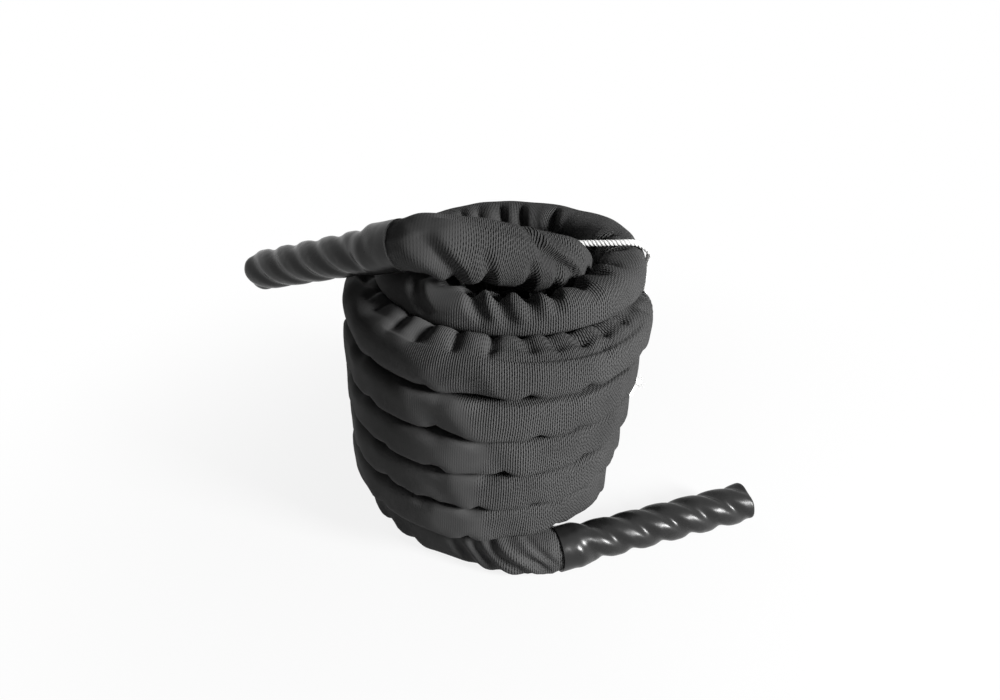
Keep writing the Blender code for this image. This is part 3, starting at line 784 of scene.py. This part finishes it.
def node_tree(name, sizes):
    """A geometry node tree with named sizes, and short ways to add its nodes and to end it."""
    tree = bpy.data.node_groups.new(name, "GeometryNodeTree")
    tree.interface.new_socket("Geometry", in_out="INPUT", socket_type="NodeSocketGeometry")
    kinds = {int: "NodeSocketInt", float: "NodeSocketFloat"}
    for key, value in sizes.items():
        kind = kinds.get(type(value), "NodeSocketMaterial")
        tree.interface.new_socket(key, in_out="INPUT", socket_type=kind)
    tree.interface.new_socket("Geometry", in_out="OUTPUT", socket_type="NodeSocketGeometry")
    entry = tree.nodes.new("NodeGroupInput")
    leave = tree.nodes.new("NodeGroupOutput")

    def add(kind, *values, **settings):
        node = tree.nodes.new(kind)
        for key, value in settings.items():
            setattr(node, key, value)
        enabled = [socket for socket in node.inputs if socket.enabled]
        for socket, value in zip(enabled, values):
            if value is None:
                continue
            if isinstance(value, bpy.types.NodeSocket):
                tree.links.new(value, socket)
            else:
                socket.default_value = value
        return node.outputs[0]

    def calc(operation, *values):
        return add("ShaderNodeMath", *values, operation=operation)

    def ended(shape):
        shape = add("GeometryNodeRealizeInstances", shape)
        shape = add("GeometryNodeSetMaterial", shape, None, entry.outputs["Material"])
        tree.links.new(shape, leave.inputs[0])
        return tree

    return tree, entry.outputs, add, calc, ended


def grown(name, tree, sizes, source=None):
    """The mesh that a tree makes from its sizes, as a plain mesh."""
    holder = bpy.data.objects.new(name, source or bpy.data.meshes.new(name))
    scene.collection.objects.link(holder)
    modifier = holder.modifiers.new(name, "NODES")
    modifier.node_group = tree
    for item in tree.interface.items_tree:
        if item.in_out == "INPUT" and item.name in sizes:
            modifier[item.identifier] = sizes[item.name]
    holder.update_tag()
    bpy.context.view_layer.update()
    graph = bpy.context.evaluated_depsgraph_get()
    mesh = bpy.data.meshes.new_from_object(holder.evaluated_get(graph))
    mesh.name = name
    bpy.data.objects.remove(holder, do_unlink=True)
    return mesh


def grip_tree():
    """Film round a straight rope from its mouth at the origin, along +X."""
    tree, size, add, calc, ended = node_tree("grip_film_form", GRIP_SIZES | {"Material": None})
    tuck, end_round = size["Tuck"], size["End Round"]
    x_end = add("ShaderNodeCombineXYZ", size["Length"])
    spine = add("GeometryNodeCurvePrimitiveLine", (0, 0, 0), x_end)
    spine = add("GeometryNodeResampleCurve", spine, None, FILM_RINGS)
    factor = add("GeometryNodeSplineParameter")
    store = "GeometryNodeStoreNamedAttribute"
    spine = add(store, spine, None, "along", factor, data_type="FLOAT", domain="POINT")
    ring = add("GeometryNodeCurvePrimitiveCircle", FILM_COLUMNS)
    film = add("GeometryNodeCurveToMesh", spine, ring)
    film.node.inputs["Fill Caps"].default_value = True
    along = add("GeometryNodeInputNamedAttribute", "along", data_type="FLOAT")
    x = calc("MULTIPLY", along, size["Length"])
    parts = add("ShaderNodeSeparateXYZ", add("GeometryNodeInputPosition")).node
    angle = calc("ARCTAN2", parts.outputs["Z"], parts.outputs["Y"])
    # The film narrows from the sleeve's width to the strands', and their lobes start to show
    smooth = {"interpolation_type": "SMOOTHSTEP"}
    shoulder_end = calc("ADD", tuck, size["Shoulder"])
    shrunk = add("ShaderNodeMapRange", x, tuck, shoulder_end, 0.0, 1.0, **smooth)
    radius = add("ShaderNodeMapRange", shrunk, 0.0, 1.0, size["Mouth Radius"], size["Body Radius"])
    turned = calc("DIVIDE", calc("MULTIPLY", x, 2 * math.pi), size["Lay Length"])
    turned = calc("SUBTRACT", angle, turned)
    rounder = calc("COSINE", calc("MULTIPLY", turned, 2.0 * STRANDS))
    rounder = calc("MULTIPLY", rounder, size["Lobe Roundness"])
    lobe = calc("ADD", calc("COSINE", calc("MULTIPLY", turned, STRANDS)), rounder)
    lobe_start = calc("MULTIPLY", tuck, LOBE_START_SHARE)
    strength = add("ShaderNodeMapRange", x, lobe_start, shoulder_end, 0.0, 1.0, **smooth)
    lobe = calc("MULTIPLY", calc("MULTIPLY", lobe, size["Lobe Height"]), strength)
    wrinkle = tree.nodes.new("ShaderNodeTexNoise")
    set_inputs(wrinkle, {"Scale": WRINKLE_SCALE, "Detail": WRINKLE_DETAIL})
    y_part = calc("MULTIPLY", parts.outputs["Y"], WRINKLE_ROUND)
    z_part = calc("MULTIPLY", parts.outputs["Z"], WRINKLE_ROUND)
    tree.links.new(add("ShaderNodeCombineXYZ", x, y_part, z_part), wrinkle.inputs["Vector"])
    uneven = calc("SUBTRACT", wrinkle.outputs["Fac"], 0.5)
    uneven = calc("MULTIPLY", uneven, size["Wrinkles"])
    left = calc("SUBTRACT", size["Length"], x)
    flare = calc("DIVIDE", calc("MULTIPLY", left, -1.0), size["Flare Length"])
    flare = calc("MULTIPLY", size["End Flare"], calc("POWER", 2.718, flare))
    # The end closes over the rope's cut end with a rounded edge
    rim = calc("MAXIMUM", calc("SUBTRACT", end_round, left), 0.0)
    inset = calc("MULTIPLY", end_round, end_round)
    inset = calc("SUBTRACT", inset, calc("MULTIPLY", rim, rim))
    inset = calc("SUBTRACT", end_round, calc("SQRT", calc("MAXIMUM", inset, 0.0)))
    reach = calc("ADD", calc("ADD", radius, lobe), uneven)
    reach = calc("SUBTRACT", calc("ADD", reach, flare), inset)
    y = calc("MULTIPLY", calc("COSINE", angle), reach)
    z = calc("MULTIPLY", calc("SINE", angle), reach)
    moved = add("ShaderNodeCombineXYZ", x, y, z)
    return ended(add("GeometryNodeSetPosition", film, None, moved))


film, shader, add, _, link = new_material("grip_film")
place = add("TexCoord")
bumped(noise(scale=900.0, detail=2.0), strength=0.10, distance=0.0003)
FILM_ROUGHNESS = (0.24, 0.38)
smudges = ranged(noise(scale=40.0, detail=4.0), 0.3, 0.7, *FILM_ROUGHNESS)
link(smudges, shader.inputs["Roughness"])
set_inputs(shader, {"Base Color": (0.012, 0.012, 0.012, 1), "Specular IOR Level": 0.24})

grip_form = grip_tree()
GRIP_ENDS = {
    "lower": (
        lower_mouth,
        LOWER_GRIP_WAY,
        {"End Flare": 0.0014, "End Round": 0.0035, "Tuck": 0.018},
    ),
    "upper": (upper_mouth, UPPER_GRIP_WAY, {"Lobe Height": 0.0013, "End Round": 0.0100}),
}
for end, (mouth, way, own_sizes) in GRIP_ENDS.items():
    sizes = GRIP_SIZES | own_sizes | {"Material": film}
    mesh = grown("grip_film_" + end, grip_form, sizes)
    # The mouth laps over the sleeve, and the far end stays
    for vertex in mesh.vertices:
        vertex.co.x -= FILM_LAP * (1 - vertex.co.x / GRIP_SIZES["Length"])
    turned = Vector(way).to_track_quat("X", "Z").to_matrix().to_4x4()
    mesh.transform(Matrix.Translation(Vector(mouth + COIL_AXIS)) @ turned)
    shape = bmesh.new()
    shape.from_mesh(mesh)
    bmesh.ops.remove_doubles(shape, verts=shape.verts, dist=MERGE_DISTANCE)
    bmesh.ops.recalc_face_normals(shape, faces=shape.faces)
    shape.to_mesh(mesh)
    shape.free()
    mesh.shade_smooth()
    strands = [f"strand_{end}_{number}" for number in range(1, STRANDS + 1)]
    placed("grip_film_" + end, mesh, film, "grip_film", "grip_" + end, *strands)

# The ties: three lengths of white twisted cord that bind the turns, each drawn tight round
# them and closed with two hitches round its own tail, whose cut end frays.
TIE_RADIUS = 0.0034
TIE_LAY = 0.012
TIE_TAIL = 0.024
HITCH_TURNS = 2.25
HITCH_HEIGHTS = {"tie_right": 0.30, "tie_back_right": 0.55, "tie_back_left": 0.55}
# A tie's gap to the turns, the spacing along it, and how many points on the next one lies
# that its route keeps
TIE_GAP = 0.0004
TIE_SPACING = 0.001
TIE_KEEPS = 6
# How many points of the loop on each side of its start give the hitches' direction, how many
# steps a hitch has, and how much the tail bends aside
HITCH_POINTS = 8
HITCH_STEPS = 12
TAIL_ASIDE = 0.002
# Past the hitches the cord comes down to the turns: how far on, and how far off as a share
# of the cord's width, and how far on it meets the loop
COMES_DOWN = ((0.0, 1.0), (0.006, 1.0), (0.016, 0.65), (0.024, 0.15))
MEETS_LOOP = 0.032
# The cut end, past the last hitch: how far on, further out and further aside
CUT_END = ((0.0, 0.010, 0.001), (-0.004, 0.018, 0.0))
# Points round the cord, and a strand's groove and bulge as shares of the cord's radius
CORD_COLUMNS = 15
STRAND_GROOVE = 0.86
STRAND_BULGE = 0.15
# The fibres' radius is a share of their length, as the shortest one is of the longest, and
# they lean up to an angle
FRAYED = {"Fibres": 26, "Fibre Length": 0.010, "Fibre Radius": 0.013, "Seed": 4}
SHORTEST_FIBRE = 0.3
FIBRE_LEAN = 2.6
FRAYED_POINTS = 6
# The right tie also holds the rope past this turn. Its top run: how far back it starts, how
# much nearer to the front it ends, how far past the turns it comes back, and from and to
# what depth below its top it leans
FREE_TURN = 6.4
LEAN_START = 0.008
LEAN = 0.030
LEAN_BACK = (-0.001, 0.008)
LEAN_DEPTHS = (0.130, 0.060)


def outline(points):
    """The convex outline of flat points, anticlockwise."""
    points = sorted(map(tuple, points))
    sides = []
    for row in (points, points[::-1]):
        side = []
        for x, y in row:
            while len(side) > 1:
                (ax, ay), (bx, by) = side[-2:]
                if (bx - ax) * (y - ay) - (by - ay) * (x - ax) > 0:
                    break
                side.pop()
            side.append((x, y))
        sides += side[:-1]
    return np.array(sides)


def tie_path(name):
    """A tie's line: its tail, up and round the turns, and hitched round the tail."""
    place, turns = TIE_PLACES[name]
    azimuth = -math.pi / 2 - 2 * math.pi * place
    out = np.array((math.cos(azimuth), math.sin(azimuth), 0.0))
    aside = np.array((-out[1], out[0], 0.0))
    runs = [run_at(turn + place) for turn in turns]
    held = list(np.stack([np.interp(runs, run, column) for column in route.T], axis=1))
    if name == "tie_right":
        free = route[run > run_at(FREE_TURN)]
        beside = (free - COIL_AXIS) @ aside
        held.append(free[np.flatnonzero(beside[:-1] * beside[1:] <= 0)[0]])
    held = np.array(held) - COIL_AXIS
    angles = np.radians(np.arange(0, 360, 10))
    ring = np.stack([np.cos(angles), np.sin(angles)], axis=1)
    ring = (ROPE_RADIUS + TIE_RADIUS + TIE_GAP) * ring
    flat = outline(np.vstack([ring + (point @ out, point[2]) for point in held]))
    loop = evened(np.vstack([flat, flat[:1]]), TIE_SPACING)[:-1]
    reaches = held @ out
    top_turn = held[len(turns) - 1]
    low, high = held[0, 2], top_turn[2]
    height = low + HITCH_HEIGHTS[name] * (high - low)
    outside = loop[:, 0] > reaches.mean()
    start = int(np.argmin(np.where(outside, np.abs(loop[:, 1] - height), FAR_OFF)))
    loop = np.roll(loop, -start, axis=0)
    up = loop[HITCH_POINTS] - loop[-HITCH_POINTS]
    up /= np.linalg.norm(up)
    away = np.array((up[1], -up[0]))
    stand_off = 2 * TIE_RADIUS
    rise = HITCH_TURNS * stand_off
    line = [(-TIE_TAIL, stand_off, TAIL_ASIDE), (0.0, stand_off, 0.0)]
    line += [(rise + further, off * stand_off, 0.0) for further, off in COMES_DOWN]
    line = [(*(loop[0] + up * further + away * off), side) for further, off, side in line]
    first = round((rise + MEETS_LOOP) / TIE_SPACING)
    line += [(*point, 0.0) for point in loop[first:-HITCH_POINTS:TIE_KEEPS]]
    for i in range(round(HITCH_TURNS * HITCH_STEPS) + 1):
        angle = 2 * math.pi * i / HITCH_STEPS
        point = loop[0] + up * stand_off * i / HITCH_STEPS
        point = point + away * stand_off * (1 - math.cos(angle))
        line.append((*point, stand_off * math.sin(angle)))
    for further, off, side in CUT_END:
        point = loop[0] + up * (rise + further) + away * (stand_off + off)
        line.append((*point, stand_off + side))
    line = curve_through(line, TIE_SPACING)
    if name == "tie_right":
        # Over the top it runs askew, and ends nearer to the front than it starts
        reach, height = line[:, 0], line[:, 1]
        outer = top_turn @ out + ROPE_RADIUS
        askew = LEAN_START - LEAN * eased(reach, reach.min(), outer)
        askew = askew * (1 - eased(reach, outer + LEAN_BACK[0], outer + LEAN_BACK[1]))
        start, end = height.max() - LEAN_DEPTHS[0], height.max() - LEAN_DEPTHS[1]
        line[:, 2] += askew * eased(height, start, end)
    return COIL_AXIS + line[:, :1] * out + line[:, 2:] * aside + line[:, 1:2] * (0.0, 0.0, 1.0)


def twisted_tree():
    """Three strands laid together along a line."""
    sizes = {"Radius": TIE_RADIUS, "Lay Length": TIE_LAY, "Material": None}
    _, size, add, calc, ended = node_tree("twisted_cord", sizes)
    spine = add("GeometryNodeMeshToCurve", size["Geometry"])
    parameter = add("GeometryNodeSplineParameter").node
    turned = calc("MULTIPLY", parameter.outputs["Length"], 2 * math.pi)
    turned = calc("DIVIDE", turned, size["Lay Length"])
    spine = add("GeometryNodeSetCurveTilt", spine, None, turned)
    ring = add("GeometryNodeCurvePrimitiveCircle", CORD_COLUMNS)
    around = add("GeometryNodeSplineParameter")
    lobe = calc("ABSOLUTE", calc("COSINE", calc("MULTIPLY", around, STRANDS * math.pi)))
    reach = calc("ADD", calc("MULTIPLY", lobe, STRAND_BULGE), STRAND_GROOVE)
    reach = calc("MULTIPLY", size["Radius"], reach)
    flat = add("ShaderNodeVectorMath", add("GeometryNodeInputPosition"), operation="NORMALIZE")
    scaled = add("ShaderNodeVectorMath", flat, reach, operation="SCALE")
    ring = add("GeometryNodeSetPosition", ring, None, scaled)
    cord = add("GeometryNodeCurveToMesh", spine, ring)
    cord.node.inputs["Fill Caps"].default_value = True
    return ended(cord)


def frayed_tree():
    """Loose bent fibres that stand out from the points of a cord's cut end."""
    tree, size, add, calc, ended = node_tree("frayed_end", FRAYED | {"Material": None})
    points = add("GeometryNodeMeshToPoints", size["Geometry"])
    points = add("GeometryNodeDuplicateElements", points, None, size["Fibres"], domain="POINT")
    bend = ((0.0, 0.0, 0.0), (0.0, 0.1, 0.6), (0.0, 0.45, 0.95))
    bend = add("GeometryNodeCurveQuadraticBezier", 4, *bend)
    ring = add("GeometryNodeCurvePrimitiveCircle", 3)
    tree.links.new(size["Fibre Radius"], ring.node.inputs["Radius"])
    fibre = add("GeometryNodeCurveToMesh", bend, ring)
    fibre.node.inputs["Fill Caps"].default_value = True
    chance = "FunctionNodeRandomValue"
    seed, longest = size["Seed"], size["Fibre Length"]
    most = Vector((FIBRE_LEAN, FIBRE_LEAN, math.pi))
    way = add(chance, -most, most, None, seed, data_type="FLOAT_VECTOR")
    shortest = calc("MULTIPLY", longest, SHORTEST_FIBRE)
    long = add(chance, shortest, longest, None, seed, data_type="FLOAT").node.outputs[1]
    fuzz = tree.nodes.new("GeometryNodeInstanceOnPoints")
    sources = {"Points": points, "Instance": fibre, "Rotation": way, "Scale": long}
    for key, value in sources.items():
        tree.links.new(value, fuzz.inputs[key])
    return ended(fuzz.outputs[0])


def line_mesh(name, line):
    """A mesh of one open line."""
    mesh = bpy.data.meshes.new(name)
    mesh.from_pydata(line.tolist(), [(i, i + 1) for i in range(len(line) - 1)], [])
    return mesh


tie_cord, shader, add, _, link = new_material("white_cord")
place = add("TexCoord")
fibres = noise(scale=1400.0, detail=3.0)
bumped(fibres, strength=0.5, distance=0.0003)
shades = add("Mix", data_type="RGBA")
set_inputs(shades, {"A": (0.74, 0.74, 0.73, 1), "B": (0.90, 0.90, 0.89, 1)})
link(fibres, shades.inputs["Factor"])
link(shades.outputs["Result"], shader.inputs["Base Color"])
shader.inputs["Roughness"].default_value = 0.8

twisted, frayed = twisted_tree(), frayed_tree()
twist_sizes = {"Radius": TIE_RADIUS, "Lay Length": TIE_LAY, "Material": tie_cord}
fray_sizes = FRAYED | {"Material": tie_cord}
for name in TIE_PLACES:
    line = tie_path(name)
    cord = grown(name + "_cord", twisted, twist_sizes, line_mesh(name, line))
    cut_end = line_mesh(name, line[-FRAYED_POINTS:])
    fuzz = grown(name + "_fuzz", frayed, fray_sizes, cut_end)
    shape = bmesh.new()
    for mesh in (cord, fuzz):
        shape.from_mesh(mesh)
    bmesh.ops.recalc_face_normals(shape, faces=shape.faces)
    shape.to_mesh(cord)
    shape.free()
    cord.shade_smooth()
    placed(name + "_cord", cord, tie_cord, "tie_cord", name)

# The floor, the studio light and the background. The floor keeps the rope's shadow, and is
# plain white further out, as the background is.
FLOOR_HALF = 8
# From and to which distance from the rope the floor turns white, and how white it is before
FADE_REACH = (0.15, 0.75)
NEAR_WHITE = 0.86
white, shader, add, calc, link = new_material("white_floor")
place = add("TexCoord")
distance = add("VectorMath", operation="LENGTH")
link(place.outputs["Object"], distance.inputs[0])


def seen():
    """1 to the camera, gloss and glass, and 0 to the light that falls on the rope."""
    rays = add("LightPath").outputs
    either = calc("MAXIMUM", rays["Is Camera Ray"], rays["Is Glossy Ray"])
    return calc("MAXIMUM", either, rays["Is Transmission Ray"])


smooth = {"interpolation_type": "SMOOTHSTEP"}
plain = ranged(distance.outputs["Value"], *FADE_REACH, NEAR_WHITE, 1.0, **smooth)
glow = add("Emission")
blend = add("MixShader")
link(calc("MULTIPLY", plain, seen()), blend.inputs["Fac"])
link(shader.outputs[0], blend.inputs[1])
link(glow.outputs[0], blend.inputs[2])
link(blend.outputs[0], white.node_tree.nodes["Material Output"].inputs["Surface"])
finish = {"Base Color": (0.65, 0.65, 0.65, 1), "Roughness": 0.8, "Specular IOR Level": 0.1}
set_inputs(shader, finish)
floor = bpy.data.objects.new("floor", bpy.data.meshes.new("floor"))
corners = [(x * FLOOR_HALF, y * FLOOR_HALF, 0) for x, y in ((-1, -1), (1, -1), (1, 1), (-1, 1))]
floor.data.from_pydata(corners, [], [(0, 1, 2, 3)])
floor.data.materials.append(white)
scene.collection.objects.link(floor)

# The camera, gloss and glass see white all round, and the rope is lit by a little of it
AMBIENT = 0.033
scene.world = bpy.data.worlds.new("studio")
scene.world.use_nodes = True
tree = scene.world.node_tree
background = tree.nodes["Background"]
background.inputs["Color"].default_value = (1, 1, 1, 1)
add, calc, link = node_tools(tree)
link(ranged(seen(), 0.0, 1.0, AMBIENT, 1.0), background.inputs["Strength"])


def lamp(name, place, target, size, watts, gleams=True):
    """A square soft light that faces a target."""
    light = bpy.data.objects.new(name, bpy.data.lights.new(name, "AREA"))
    light.data.size = size
    light.data.energy = watts
    light.location = place
    light.rotation_euler = (Vector(target) - Vector(place)).to_track_quat("-Z", "Y").to_euler()
    light.visible_glossy = gleams
    scene.collection.objects.link(light)


lamp("key", (1.62, -1.0, 0.9), (0, 0, 0.15), 0.5, 98)
lamp("front", (-0.3, -1.8, 1.6), (0, 0, 0.15), 1.4, 0.8)
lamp("back", (-1.2, 1.5, 0.55), (0, 0, 0.15), 1.2, 22, gleams=False)
